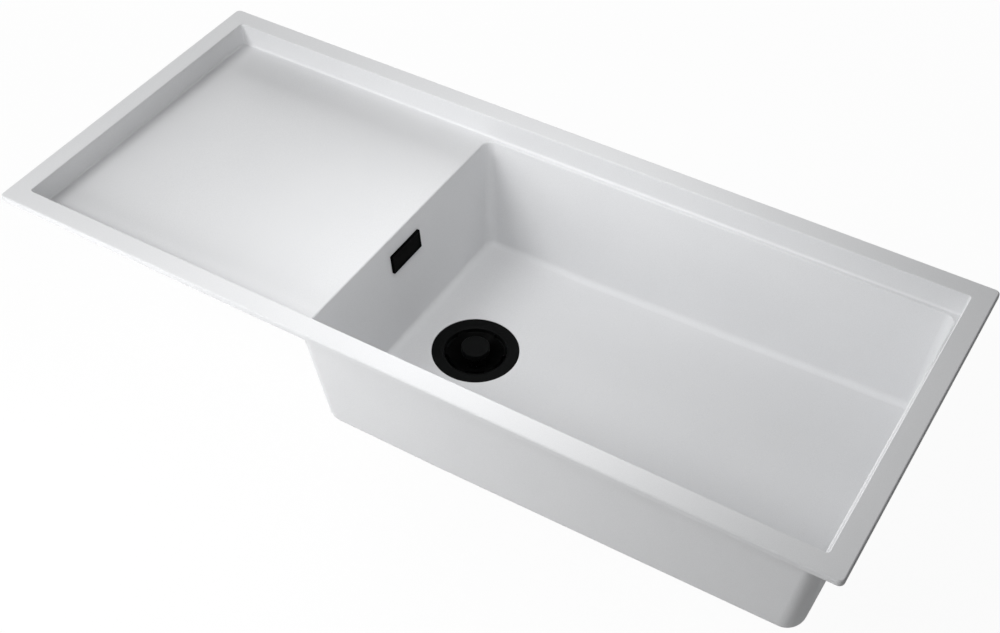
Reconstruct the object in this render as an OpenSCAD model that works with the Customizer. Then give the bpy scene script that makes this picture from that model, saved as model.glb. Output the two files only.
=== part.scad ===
// Inset kitchen sink: a drainboard on the left and one deep bowl on the right.
// Millimetres. X runs along the front to the right, Y to the back, Z up.
// Zero is the middle of the worktop cut-out, level with the worktop's top face.

/* [Rim and drainboard] */
// Length of the rim, left to right
sink_length = 1160; // [1120:5:1300]
// Depth of the rim, front to back
sink_depth = 500; // [460:5:560]
// Width of the rim's flat top
rim_width = 28; // [27:0.5:36]
// Height of the rim above the worktop
rim_height = 8; // [6:0.5:12]
// Rounding along the rim's top edge
rim_edge_radius = 2.4; // [1:0.2:3.6]
// Plan radius of the rim's outer corners
rim_corner_radius = 7; // [5:0.5:14]
// Drop from the rim to the drainboard at its far end
step_drop = 33; // [25:0.5:40]
// Fall of the drainboard towards the bowl
board_fall = 1; // [0.5:0.25:4]
// Thickness of the drainboard
board_thickness = 9; // [7:0.5:14]
// Thickness of the wall between rim and drainboard
tray_wall = 8; // [6:0.5:9]
// Rounding under the outer edge of the drainboard
tray_foot_radius = 13; // [8:1:16]
// Radius of the upright corners below the rim
pocket_corner_radius = 4; // [4:0.5:7]
// Fillet at the foot of the step below the rim
step_fillet = 3; // [2:0.5:4]

/* [Bowl] */
// Length of the bowl's opening
bowl_length = 668; // [560:2:720]
// Width of the ledge round the bowl's opening
ledge_width = 8; // [6:0.5:14]
// Depth from the rim's top to the floor at the waste
bowl_depth = 202; // [170:2:230]
// Thickness of the bowl's walls
bowl_wall = 8.7; // [7:0.1:12]
// Thickness of the bowl's floor
floor_thickness = 7.5; // [7:0.1:14]
// Rise of the floor from the waste to the far end
floor_rise = 11; // [4:0.5:14]
// Inward lean of the end walls, as a share of their height
end_lean_share = 0.1; // [0.04:0.01:0.14]
// Inward lean of the front and back walls, as a share of their height
side_lean_share = 0.12; // [0.04:0.01:0.14]
// Radius of the bowl's upright corners, inside
bowl_corner_radius = 14; // [10:1:24]
// Fillet between walls and floor, inside
bowl_fillet = 10; // [6:1:14]
// Radius of the bowl's upright corners, outside
bowl_outer_corner_radius = 21; // [20:1:30]
// Radius along the bowl's lower edge, outside
bowl_foot_radius = 25; // [20:1:32]

/* [Sealing strip] */
// Distance of the groove from the rim's outer edge
groove_inset = 4; // [3:0.5:6]
// Width of the groove under the rim
groove_width = 5; // [3:0.5:6]
// Depth of the groove under the rim
groove_depth = 1.5; // [1:0.25:3]

/* [Waste] */
// Distance from the bowl's left edge to the middle of the waste
waste_inset = 112; // [105:1:160]
// Diameter of the strainer flange
flange_diameter = 118; // [112:1:124]
// Diameter of the hole in the floor
waste_hole_diameter = 90; // [89:0.5:94]
// Thickness of the strainer's sheet
strainer_sheet = 1.5; // [1:0.1:2]
// Inside diameter of the throat that holds the basket's rim
throat_diameter = 84; // [80:0.5:84]
// Inside diameter of the strainer cup
cup_diameter = 78; // [74:0.5:79]
// Inside diameter of the cup below the seal
drain_diameter = 62; // [56:0.5:64]
// Depth of the step that the basket rests on
basket_seat_depth = 8; // [5:0.5:9]
// Depth of the step that the seal closes on
seal_seat_depth = 32; // [31:0.5:36]
// Depth of the strainer cup
cup_depth = 44; // [43:0.5:50]
// Diameter of the knob in the middle of the basket
knob_diameter = 38.6; // [30:0.2:46]
// Height of the knob above the strainer flange
knob_rise = 7.5; // [0:0.5:10]
// Travel of the knob before it lifts the basket
plug_travel = 5; // [3:0.5:5]
// Outside diameter of the threaded outlet
outlet_diameter = 47.8; // [47.4:0.1:48.2]
// Length of the threaded outlet
outlet_length = 20; // [14:1:30]

/* [Overflow] */
// Width of the overflow cover
cover_width = 64; // [63:1:80]
// Height of the overflow cover
cover_height = 28; // [27:1:42]
// Depth from the rim's top to the middle of the overflow
overflow_depth = 73.5; // [72:0.5:90]
// Outside diameter of the ribbed hose
hose_diameter = 25; // [24:0.5:26]
// Distance between the hose's ribs
rib_pitch = 4; // [3.5:0.5:6]

/* [Fixing clips] */
// Distance of the clamp screws from the rim's outer edge
clip_inset = 20; // [19:0.5:21]
// Distance of the end clips from the middle
end_clip_offset = 130; // [100:5:150]
// Distance of the back clips from the middle
back_clip_offset = 315; // [220:5:400]
// Travel of a claw when its screw is tightened
clip_travel = 24; // [16:1:24]
// Length of a claw from its screw to its tip
claw_reach = 38; // [34:1:46]
// Height of a claw's upright tip
claw_height = 35; // [28:1:38]

/* [Hidden] */
$fn = 72;

// Working values that every piece shares
cut = 1;
seat_gap = 0.3;
running_gap = 0.05;
blend_fn = 32;
blend_steps = blend_fn / 4;
small_fn = 32;

// Levels and edges of the sink body
half_length = sink_length / 2;
half_depth = sink_depth / 2;
pocket_half_length = half_length - rim_width;
pocket_half_depth = half_depth - rim_width;
board_z = rim_height - step_drop;
ledge_z = board_z - board_fall;
tray_bottom_z = ledge_z - board_thickness;
tray_half_length = pocket_half_length + tray_wall;
tray_half_depth = pocket_half_depth + tray_wall;
bowl_right = pocket_half_length - ledge_width;
bowl_left = bowl_right - bowl_length;
bowl_half_depth = pocket_half_depth - ledge_width;
floor_z = rim_height - bowl_depth;
end_angle = atan(end_lean_share);
side_angle = atan(side_lean_share);

// The lower edge's radius stays small enough to leave the lower corners this thickness
corner_thickness = 2;
corner_reach = 2 * bowl_wall + floor_thickness - corner_thickness;
corner_square = 2 * pow(bowl_wall, 2) + pow(floor_thickness, 2) - pow(corner_thickness, 2);
radius_step = (corner_reach + sqrt(pow(corner_reach, 2) - 2 * corner_square)) / 2;
outer_foot_radius = min(bowl_foot_radius, bowl_fillet + radius_step);

// The waste: everything below is measured down from the floor of the bowl
waste_x = bowl_left + waste_inset;
flange_r = flange_diameter / 2;
flange_bevel = 0.7;
flange_dish = 0.3;
flange_step = 13;
level_margin = 9;
level_end = waste_x + flange_r + level_margin;
waste_hole_r = waste_hole_diameter / 2;
flange_gasket_thickness = 1.2;
recess_depth = strainer_sheet + flange_gasket_thickness;
floor_pad_r = 58;
floor_pad = 3.7;
lower_gasket_thickness = 2.5;
body_top = floor_thickness + floor_pad + lower_gasket_thickness;
throat_r = throat_diameter / 2;
cup_r = cup_diameter / 2;
drain_r = drain_diameter / 2;
cup_hole_r = 5;
cup_hole_circle = 20;
cup_hole_count = 8;

// Waste body
body_flange_r = 56;
body_flange = 5;
body_r = 46;
body_wall = 4;
body_straight = 40;
body_cone = 14;
outlet_r = outlet_diameter / 2;
outlet_wall = 3.9;
outlet_shoulder = 2;
hub_r = 8;
hub_length = 20;
hub_rib = 3;
hub_rib_height = 7;
hub_rib_count = 3;
waste_screw_r = 3;
waste_screw_length = 15;
waste_screw_head_r = 7;
waste_screw_head = 3.5;
waste_insert_r = 5;
waste_insert_length = 14;
driver_slot = 1.6;
driver_depth = 1.5;

// Basket, knob and seal
basket_sheet = 1.4;
basket_rim_depth = 2.6;
basket_foot_r = 15;
basket_slot_inset = 4.6;
basket_slot_angle = 40;
basket_slot_count = 6;
basket_hole_r = 1.5;
basket_hole_rings = [[8, 8], [12.5, 12]];
knob_r = knob_diameter / 2;
knob_edge = 0.8;
knob_side = 7.5;
knob_under = 1.8;
knob_under_share = 0.9;
knob_neck_r = 7;
knob_neck = 3.5;
stem_r = 4.2;
collar_r = 9;
collar_thickness = 1;
seal_thickness = 3;
seal_inset = 4.4;
plug_margin = 0.7;
basket_depth = seal_seat_depth - seat_gap - seal_thickness - collar_thickness - plug_travel - plug_margin;
nut_r = 7;
nut_height = 4.3;

// Spigots, nuts and cones of the hose: measured from the spigot's mouth
hose_r = hose_diameter / 2;
rib_depth = 2;
cuff_r = hose_r - 1.5;
hose_bore_r = cuff_r - 2;
socket_depth = 14;
cuff_entry = 12;
cuff_length = 21;
spigot_r = 14;
spigot_length = 20;
cone_length = 3.5;
nut_overlap = 13;
nut_wall = 3.7;
nut_end = 2.3;
nut_grip_r = 1.2;
nut_grip_count = 12;
inlet_depth = 34;
inlet_mouth = 72;

// Overflow: measured from the middle of its hole, on the wall's inner face
overflow_z = rim_height - overflow_depth;
overflow_x = bowl_left + end_lean_share * (ledge_z - overflow_z);
wall_across = bowl_wall * cos(end_angle);
hole_width = 56;
hole_height = 18;
cover_depth = 4;
cover_face = 1.4;
cover_border = 3;
cover_border_depth = 0.5;
cover_side = 1.5;
cover_slot_width = 50;
cover_corner = 0.8;
frame_width = 59;
frame_height = 23;
frame_thickness = 1.5;
window_width = 30;
window_height = 14;
screw_spread = 21;
overflow_screw_r = 2;
overflow_screw_head_r = 3.6;
overflow_screw_head = 1;
overflow_screw_length = 22;
elbow_width = 68;
elbow_height = 30;
elbow_flange = 3;
overflow_gasket_thickness = 2;
duct_width = 36;
duct_height = 24;
duct_depth = 38;
duct_wall = 2;
screw_boss_r = 4.5;
screw_boss_length = 9;
spigot_offset = 25;
spigot_drop = 31;
bend_radius = 36;

// Clips: measured from the screw's axis, level with the worktop's top face
clip_places = [
    [half_length - clip_inset, -end_clip_offset, 0],
    [half_length - clip_inset, end_clip_offset, 0],
    [back_clip_offset, half_depth - clip_inset, 90],
    [-back_clip_offset, half_depth - clip_inset, 90],
    [-(half_length - clip_inset), end_clip_offset, 180],
    [-(half_length - clip_inset), -end_clip_offset, 180]
];
boss_out = 8;
boss_in = 9;
boss_width = 20;
clip_insert_r = 3.5;
clip_insert_length = 12;
clip_screw_r = 2.5;
clip_entry = 6;
clip_screw_length = 56;
clip_relief_gap = 1;
clip_head_r = 5;
clip_head = 3.5;
clip_recess_r = 2.2;
clip_recess = 2;
clip_washer_r = 6;
clip_washer = 1.2;
claw_thickness = 2.5;
claw_eye_r = 8;
claw_inner = 5;
claw_tip_inner = 1;
claw_heel = 12;

// Helper shapes

module rounded_rect(length, width, radius) {
    square([length - 2 * radius, width], center = true);
    square([length, width - 2 * radius], center = true);
    for (side = [-1, 1], end = [-1, 1])
        translate([side * (length / 2 - radius), end * (width / 2 - radius)])
            circle(r = radius);
}

module slot(length, width) {
    square([length - width, width], center = true);
    for (side = [-1, 1])
        translate([side * (length - width) / 2, 0])
            circle(d = width);
}

module washer(outer_r, inner_r, height) {
    difference() {
        cylinder(r = outer_r, h = height);
        translate([0, 0, -cut])
            cylinder(r = inner_r, h = height + 2 * cut);
    }
}

// Plate with round upright corners and a rounded top edge
module rounded_plate(length, width, height, corner, edge) {
    linear_extrude(height - edge)
        rounded_rect(length, width, corner);
    linear_extrude(height)
        rounded_rect(length - 2 * edge, width - 2 * edge, corner - edge);
    translate([0, 0, height - edge]) {
        for (side = [-1, 1]) {
            translate([0, side * (width / 2 - edge), 0])
                rotate([0, 90, 0])
                    cylinder(r = edge, h = length - 2 * corner, center = true);
            translate([side * (length / 2 - edge), 0, 0])
                rotate([90, 0, 0])
                    cylinder(r = edge, h = width - 2 * corner, center = true);
            for (end = [-1, 1])
                translate([side * (length / 2 - corner), end * (width / 2 - corner), 0])
                    rotate_extrude()
                        translate([corner - edge, 0])
                            circle(r = edge);
        }
    }
}

// Sink body

// The edge of a lower corner, from the floor up to where each of the leaning walls leaves it
function foot_turns() =
    let (steep = 90 - min(end_angle, side_angle), shallow = 90 - max(end_angle, side_angle))
    concat([for (k = [0 : blend_steps]) shallow * k / blend_steps], steep > shallow ? [steep] : []);
function foot_points(spare, radius) = concat(
    spare > 0 ? [[0, -radius]] : [],
    [for (turn = foot_turns()) [spare + radius * sin(turn), -radius * cos(turn)]],
    [[0, 0]]
);

// One lower corner, tangent to the leaning walls and to the floor
module foot(x, side, half, corner, radius, z, shift) {
    spare = max(corner - radius, 0);
    centre_z = z + radius;
    drop = ledge_z - centre_z;
    reach_x = spare + radius / cos(end_angle) + end_lean_share * drop;
    reach_y = spare + radius / cos(side_angle) + side_lean_share * drop;
    translate([x + shift * reach_x, side * (half - reach_y), centre_z])
        rotate_extrude($fn = blend_fn)
            polygon(foot_points(spare, radius));
}

// Drafted form of the bowl: its outer skin, or the space inside
module bowl_form(grow, corner, radius, drop) {
    half = bowl_half_depth + grow;
    hull()
        for (side = [-1, 1]) {
            translate([bowl_left - grow + corner, side * (half - corner), ledge_z])
                cylinder(r = corner, h = cut, $fn = blend_fn);
            translate([bowl_right + grow - corner, side * (half - corner), ledge_z])
                cylinder(r = corner, h = cut, $fn = blend_fn);
            foot(bowl_left - grow, side, half, corner, radius, floor_z - drop, 1);
            foot(level_end, side, half, corner, radius, floor_z - drop, 0);
            foot(bowl_right + grow, side, half, corner, radius, floor_z - drop + floor_rise, -1);
        }
}

// Recess below the rim: drainboard and ledge
module pocket() {
    corner = pocket_corner_radius;
    hull()
        for (side = [-1, 1]) {
            for (end = [-1, 1])
                translate([end * (pocket_half_length - corner), side * (pocket_half_depth - corner), rim_height])
                    cylinder(r = corner, h = cut, $fn = blend_fn);
            translate([-pocket_half_length + corner, side * (pocket_half_depth - corner), board_z + step_fillet])
                sphere(r = step_fillet, $fn = blend_fn);
            translate([bowl_left, side * (pocket_half_depth - corner), ledge_z + step_fillet])
                sphere(r = step_fillet, $fn = blend_fn);
            translate([pocket_half_length - corner, side * (pocket_half_depth - corner), ledge_z + step_fillet])
                sphere(r = step_fillet, $fn = blend_fn);
        }
}

// Underside of drainboard and ledge
module tray() {
    hull()
        for (side = [-1, 1], end = [-1, 1]) {
            translate([end * (tray_half_length - tray_foot_radius), side * (tray_half_depth - tray_foot_radius), 0])
                cylinder(r = tray_foot_radius, h = cut, $fn = blend_fn);
            translate([
                end * (tray_half_length - tray_foot_radius),
                side * (tray_half_depth - tray_foot_radius),
                tray_bottom_z + tray_foot_radius
            ])
                sphere(r = tray_foot_radius, $fn = blend_fn);
        }
}

module clip_boss() {
    translate([-boss_in, -boss_width / 2, tray_bottom_z])
        cube([boss_in + boss_out, boss_width, -tray_bottom_z + cut]);
}

module clip_boss_hole() {
    translate([0, 0, tray_bottom_z - cut])
        cylinder(r = clip_insert_r + running_gap, h = clip_insert_length + cut, $fn = small_fn);
    translate([0, 0, tray_bottom_z])
        cylinder(r = clip_screw_r + seat_gap, h = clip_entry + clip_travel + clip_relief_gap, $fn = small_fn);
}

module at_clip(index) {
    translate([clip_places[index][0], clip_places[index][1], 0])
        rotate([0, 0, clip_places[index][2]])
            children();
}

// Local frame of the overflow: X points into the bowl, square to the wall
module at_overflow() {
    translate([overflow_x, 0, overflow_z])
        rotate([0, -end_angle, 0])
            children();
}

// Upright outline pushed along local X from one depth to another
module through_wall(from_x, to_x) {
    translate([from_x, 0, 0])
        rotate([90, 0, 90])
            linear_extrude(to_x - from_x)
                children();
}

module groove(width, depth) {
    outer = groove_inset + (groove_width - width) / 2;
    inner = outer + width;
    difference() {
        linear_extrude(depth)
            rounded_rect(sink_length - 2 * outer, sink_depth - 2 * outer, rim_corner_radius - outer / 2);
        translate([0, 0, -cut])
            linear_extrude(depth + 2 * cut)
                rounded_rect(sink_length - 2 * inner, sink_depth - 2 * inner, rim_corner_radius - outer / 2);
    }
}

module sink_body() {
    color("whitesmoke")
        difference() {
            union() {
                rounded_plate(sink_length, sink_depth, rim_height, rim_corner_radius, rim_edge_radius);
                tray();
                bowl_form(bowl_wall, bowl_outer_corner_radius, outer_foot_radius, floor_thickness);
                translate([waste_x, 0, floor_z - floor_thickness - floor_pad])
                    cylinder(r = floor_pad_r, h = floor_pad + floor_thickness / 2);
                for (index = [0 : len(clip_places) - 1])
                    at_clip(index)
                        clip_boss();
            }
            pocket();
            bowl_form(0, bowl_corner_radius, bowl_fillet, 0);
            groove(groove_width, groove_depth);
            translate([waste_x, 0, floor_z - recess_depth])
                cylinder(r = flange_r + seat_gap, h = recess_depth + cut);
            translate([waste_x, 0, floor_z - floor_thickness - floor_pad - cut])
                cylinder(r = waste_hole_r, h = floor_thickness + floor_pad + 2 * cut);
            at_overflow()
                through_wall(-wall_across - cut, cut)
                    slot(hole_width, hole_height);
            for (index = [0 : len(clip_places) - 1])
                at_clip(index)
                    clip_boss_hole();
        }
}

module rim_seal() {
    color("dimgray")
        groove(groove_width - 2 * seat_gap, groove_depth);
}

// Waste

module at_waste() {
    translate([waste_x, 0, floor_z])
        children();
}

module strainer_flange() {
    color([0.09, 0.1, 0.1])
        at_waste()
            difference() {
                rotate_extrude()
                    polygon([
                        [flange_r, -flange_bevel],
                        [flange_r - flange_bevel, 0],
                        [flange_r - flange_step, -flange_dish],
                        [throat_r, -strainer_sheet],
                        [throat_r, -basket_seat_depth],
                        [cup_r, -basket_seat_depth],
                        [cup_r, -seal_seat_depth],
                        [drain_r, -seal_seat_depth],
                        [drain_r, -cup_depth],
                        [0, -cup_depth],
                        [0, -cup_depth - strainer_sheet],
                        [drain_r + strainer_sheet, -cup_depth - strainer_sheet],
                        [drain_r + strainer_sheet, -seal_seat_depth - strainer_sheet],
                        [cup_r + strainer_sheet, -seal_seat_depth - strainer_sheet],
                        [cup_r + strainer_sheet, -basket_seat_depth - strainer_sheet],
                        [throat_r + strainer_sheet, -basket_seat_depth - strainer_sheet],
                        [throat_r + strainer_sheet, -strainer_sheet],
                        [flange_r, -strainer_sheet]
                    ]);
                translate([0, 0, -cup_depth - strainer_sheet - cut])
                    cylinder(r = waste_screw_r + seat_gap, h = strainer_sheet + 2 * cut);
                for (turn = [0 : cup_hole_count - 1])
                    rotate([0, 0, turn * 360 / cup_hole_count])
                        translate([cup_hole_circle, 0, -cup_depth - strainer_sheet - cut])
                            cylinder(r = cup_hole_r, h = strainer_sheet + 2 * cut);
            }
}

module flange_gasket() {
    color("black")
        at_waste()
            translate([0, 0, -recess_depth])
                washer(flange_r - seat_gap, waste_hole_r, flange_gasket_thickness);
}

module lower_gasket() {
    color("black")
        at_waste()
            translate([0, 0, -body_top])
                washer(body_flange_r, waste_hole_r + cut, lower_gasket_thickness);
}

// Threaded socket for the hose, mouth at zero, pointing along +Z
module spigot_bores(depth) {
    translate([0, 0, -socket_depth])
        cylinder(r = cuff_r + seat_gap, h = socket_depth + cut);
    translate([0, 0, -depth])
        cylinder(r = hose_bore_r, h = depth);
}

module at_inlet() {
    at_waste()
        translate([-inlet_mouth, 0, -inlet_depth])
            rotate([0, -90, 0])
                children();
}

module at_elbow_mouth() {
    translate([overflow_x - wall_across - spigot_offset, 0, overflow_z - spigot_drop])
        rotate([180, 0, 0])
            children();
}

module waste_body() {
    straight_end = -body_top - body_straight;
    cone_end = straight_end - body_cone;
    outer_r = body_r + body_wall;
    color([0.13, 0.13, 0.14])
        difference() {
            union() {
                at_waste() {
                    rotate_extrude()
                        polygon([
                            [body_r, -body_top],
                            [body_flange_r, -body_top],
                            [body_flange_r, -body_top - body_flange],
                            [outer_r, -body_top - body_flange],
                            [outer_r, straight_end - outlet_shoulder],
                            [outlet_r + outlet_shoulder, cone_end - outlet_shoulder],
                            [outlet_r, cone_end - outlet_shoulder],
                            [outlet_r, cone_end - outlet_shoulder - outlet_length],
                            [outlet_r - outlet_wall, cone_end - outlet_shoulder - outlet_length],
                            [outlet_r - outlet_wall, cone_end],
                            [body_r, straight_end]
                        ]);
                    translate([0, 0, -cup_depth - strainer_sheet - seat_gap - hub_length])
                        cylinder(r = hub_r, h = hub_length);
                    for (turn = [0 : hub_rib_count - 1])
                        rotate([0, 0, turn * 360 / hub_rib_count])
                            translate([0, -hub_rib / 2, straight_end - outlet_shoulder / 2])
                                cube([body_r + body_wall / 2, hub_rib, hub_rib_height]);
                }
                at_inlet()
                    translate([0, 0, -(inlet_mouth - outer_r) - body_wall / 2])
                        cylinder(r = spigot_r, h = inlet_mouth - outer_r + body_wall / 2);
            }
            at_waste()
                translate([0, 0, -cup_depth - strainer_sheet - seat_gap - waste_insert_length - cut])
                    cylinder(r = waste_insert_r + running_gap, h = waste_insert_length + 2 * cut);
            at_inlet()
                spigot_bores(inlet_mouth - body_r + body_wall);
        }
}

module waste_insert() {
    color("goldenrod")
        at_waste()
            translate([0, 0, -cup_depth - strainer_sheet - seat_gap - waste_insert_length])
                washer(waste_insert_r, waste_screw_r + running_gap, waste_insert_length);
}

module waste_screw() {
    color("silver")
        at_waste()
            difference() {
                union() {
                    translate([0, 0, -cup_depth])
                        cylinder(r = waste_screw_head_r, h = waste_screw_head);
                    translate([0, 0, -cup_depth - waste_screw_length])
                        cylinder(r = waste_screw_r, h = waste_screw_length + cut);
                }
                translate([-waste_screw_head_r - cut, -driver_slot / 2, -cup_depth + waste_screw_head - driver_depth])
                    cube([2 * (waste_screw_head_r + cut), driver_slot, driver_depth + cut]);
            }
}

// Funnel on a deep rim; the slots leave feet that stand on the step of the flange
module basket() {
    rim_r = throat_r - 2 * seat_gap;
    rim_bottom = -basket_seat_depth + seat_gap;
    shell_r = cup_r - 2 * seat_gap;
    color([0.09, 0.1, 0.1])
        at_waste()
            difference() {
                rotate_extrude()
                    polygon([
                        [rim_r, rim_bottom],
                        [rim_r, -basket_rim_depth],
                        [shell_r, -basket_rim_depth],
                        [basket_foot_r, -basket_depth + basket_sheet],
                        [stem_r + seat_gap, -basket_depth + basket_sheet],
                        [stem_r + seat_gap, -basket_depth],
                        [basket_foot_r, -basket_depth],
                        [shell_r, -basket_rim_depth - basket_sheet],
                        [shell_r, rim_bottom]
                    ]);
                for (turn = [0 : basket_slot_count - 1])
                    rotate([0, 0, turn * 360 / basket_slot_count - basket_slot_angle / 2])
                        translate([0, 0, rim_bottom - cut])
                            rotate_extrude(angle = basket_slot_angle)
                                translate([rim_r - basket_slot_inset, 0])
                                    square([basket_slot_inset + cut, basket_seat_depth]);
                for (ring = basket_hole_rings, turn = [0 : ring[1] - 1])
                    rotate([0, 0, turn * 360 / ring[1]])
                        translate([ring[0], 0, -basket_depth - cut])
                            cylinder(r = basket_hole_r, h = basket_sheet + 2 * cut, $fn = small_fn);
            }
}

// The seal, its nut and the stem's end hang from these levels
seal_top = -seal_seat_depth + seat_gap + seal_thickness;
stem_end = -seal_seat_depth + seat_gap - nut_height;

module basket_knob() {
    neck_z = knob_rise - knob_edge - knob_side - knob_under;
    color([0.1, 0.11, 0.11])
        at_waste()
            rotate_extrude()
                polygon([
                    [0, knob_rise],
                    [knob_r - knob_edge, knob_rise],
                    [knob_r, knob_rise - knob_edge],
                    [knob_r, knob_rise - knob_edge - knob_side],
                    [knob_r * knob_under_share, neck_z],
                    [knob_neck_r, neck_z],
                    [stem_r, neck_z - knob_neck],
                    [stem_r, seal_top + collar_thickness],
                    [collar_r, seal_top + collar_thickness],
                    [collar_r, seal_top],
                    [stem_r, seal_top],
                    [stem_r, stem_end],
                    [0, stem_end]
                ]);
}

module basket_seal() {
    color("black")
        at_waste()
            translate([0, 0, seal_top - seal_thickness])
                washer(cup_r - seal_inset, stem_r + running_gap, seal_thickness);
}

module basket_nut() {
    color("silver")
        at_waste()
            translate([0, 0, stem_end])
                difference() {
                    cylinder(r = nut_r, h = nut_height, $fn = 6);
                    translate([0, 0, -cut])
                        cylinder(r = stem_r + running_gap, h = nut_height + 2 * cut);
                }
}

// Overflow

module overflow_cover() {
    back = frame_thickness + seat_gap;
    inner_width = cover_width - 2 * cover_side;
    inner_height = cover_height - 2 * cover_side;
    color([0.08, 0.09, 0.1])
        at_overflow()
            difference() {
                through_wall(0, cover_depth)
                    rounded_rect(cover_width, cover_height, cover_corner);
                through_wall(-cut, cover_depth - cover_face)
                    square([inner_width, inner_height], center = true);
                through_wall(cover_depth - cover_border_depth, cover_depth + cut)
                    square([cover_width - 2 * cover_border, cover_height - 2 * cover_border], center = true);
                through_wall(-cut, back)
                    translate([0, -cover_height / 2])
                        square([cover_slot_width, cover_border], center = true);
            }
}

module overflow_frame() {
    color([0.15, 0.15, 0.16])
        at_overflow()
            difference() {
                through_wall(0, frame_thickness)
                    rounded_rect(frame_width, frame_height, cover_corner);
                through_wall(-cut, frame_thickness + cut)
                    square([window_width, window_height], center = true);
                for (side = [-1, 1])
                    through_wall(-cut, frame_thickness + cut)
                        translate([side * screw_spread, 0])
                            circle(r = overflow_screw_r + seat_gap, $fn = small_fn);
            }
}

module overflow_screws() {
    color("silver")
        at_overflow()
            for (side = [-1, 1]) {
                through_wall(frame_thickness, frame_thickness + overflow_screw_head)
                    translate([side * screw_spread, 0])
                        circle(r = overflow_screw_head_r, $fn = small_fn);
                through_wall(frame_thickness - overflow_screw_length, frame_thickness + overflow_screw_head / 2)
                    translate([side * screw_spread, 0])
                        circle(r = overflow_screw_r, $fn = small_fn);
            }
}

module overflow_gasket() {
    color("black")
        at_overflow()
            difference() {
                through_wall(-wall_across - overflow_gasket_thickness, -wall_across)
                    rounded_rect(elbow_width, elbow_height, overflow_screw_head_r);
                through_wall(-wall_across - overflow_gasket_thickness - cut, -wall_across + cut)
                    slot(hole_width, hole_height);
            }
}

module overflow_elbow() {
    flange_face = -wall_across - overflow_gasket_thickness;
    duct_back = flange_face - duct_depth;
    color([0.13, 0.13, 0.14])
        difference() {
            union() {
                at_overflow() {
                    through_wall(flange_face - elbow_flange, flange_face)
                        rounded_rect(elbow_width, elbow_height, overflow_screw_head_r);
                    through_wall(duct_back, flange_face - elbow_flange / 2)
                        rounded_rect(duct_width, duct_height, duct_wall);
                    for (side = [-1, 1])
                        through_wall(flange_face - elbow_flange - screw_boss_length, flange_face - elbow_flange / 2)
                            translate([side * screw_spread, 0])
                                circle(r = screw_boss_r, $fn = small_fn);
                }
                at_elbow_mouth()
                    translate([0, 0, -spigot_length])
                        cylinder(r = spigot_r, h = spigot_length);
            }
            at_overflow() {
                through_wall(duct_back + duct_wall, flange_face + cut)
                    rounded_rect(window_width, duct_height - 2 * duct_wall, duct_wall / 2);
                for (side = [-1, 1])
                    through_wall(flange_face - elbow_flange - screw_boss_length - cut, flange_face + cut)
                        translate([side * screw_spread, 0])
                            circle(r = overflow_screw_r + running_gap, $fn = small_fn);
            }
            at_elbow_mouth()
                spigot_bores(spigot_drop);
        }
}

module hose_nut() {
    outer_r = spigot_r + nut_wall;
    length = nut_overlap + cone_length + nut_end + seat_gap;
    color([0.15, 0.15, 0.16])
        difference() {
            translate([0, 0, -nut_overlap])
                cylinder(r = outer_r, h = length);
            translate([0, 0, -nut_overlap - cut])
                cylinder(r = spigot_r + seat_gap, h = nut_overlap + cone_length + seat_gap + cut);
            cylinder(r = cuff_r + seat_gap, h = length);
            for (turn = [0 : nut_grip_count - 1])
                rotate([0, 0, turn * 360 / nut_grip_count])
                    translate([outer_r + nut_grip_r / 2, 0, -nut_overlap - cut])
                        cylinder(r = nut_grip_r, h = length + 2 * cut, $fn = small_fn);
        }
}

module hose_cone() {
    color("black")
        washer(spigot_r - seat_gap, cuff_r + seat_gap, cone_length);
}

module hose_nut_upper() {
    at_elbow_mouth()
        hose_nut();
}

module hose_nut_lower() {
    at_inlet()
        hose_nut();
}

module hose_cone_upper() {
    at_elbow_mouth()
        hose_cone();
}

module hose_cone_lower() {
    at_inlet()
        hose_cone();
}

// Ribbed hose: straight down from the elbow, one bend, straight into the waste body
hose_top = [overflow_x - wall_across - spigot_offset, overflow_z - spigot_drop];
hose_end = [waste_x - inlet_mouth, floor_z - inlet_depth];
drop_length = hose_top[1] - hose_end[1] - bend_radius + cuff_entry;
run_length = hose_end[0] - hose_top[0] - bend_radius + cuff_entry;
bend_length = bend_radius * PI / 2;
hose_length = drop_length + bend_length + run_length;
ribbed_length = hose_length - 2 * cuff_length - 2 * cuff_entry;
rib_count = floor(ribbed_length / rib_pitch);
hose_sides = 8;
bore_rings = 24;
rib_crest_shares = [0.2, 0.7];

// Middle of the hose and its heading in the upright plane, at a distance along it
function hose_turn(s) = 90 * max(0, min(1, (s - drop_length) / bend_length));
function hose_past(s) = max(0, s - drop_length - bend_length);
function hose_middle(s) =
    let (turn = hose_turn(s), down = min(s, drop_length), past = hose_past(s))
    [
        hose_top[0] + bend_radius * (1 - cos(turn)) + past,
        hose_top[1] + cuff_entry - down - bend_radius * sin(turn)
    ];
function hose_ring(s, r) =
    let (middle = hose_middle(s), turn = hose_turn(s))
    [
        for (k = [0 : hose_sides - 1])
            let (angle = k * 360 / hose_sides, out = r * cos(angle))
            [middle[0] + out * cos(turn), r * sin(angle), middle[1] + out * sin(turn)]
    ];

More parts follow.
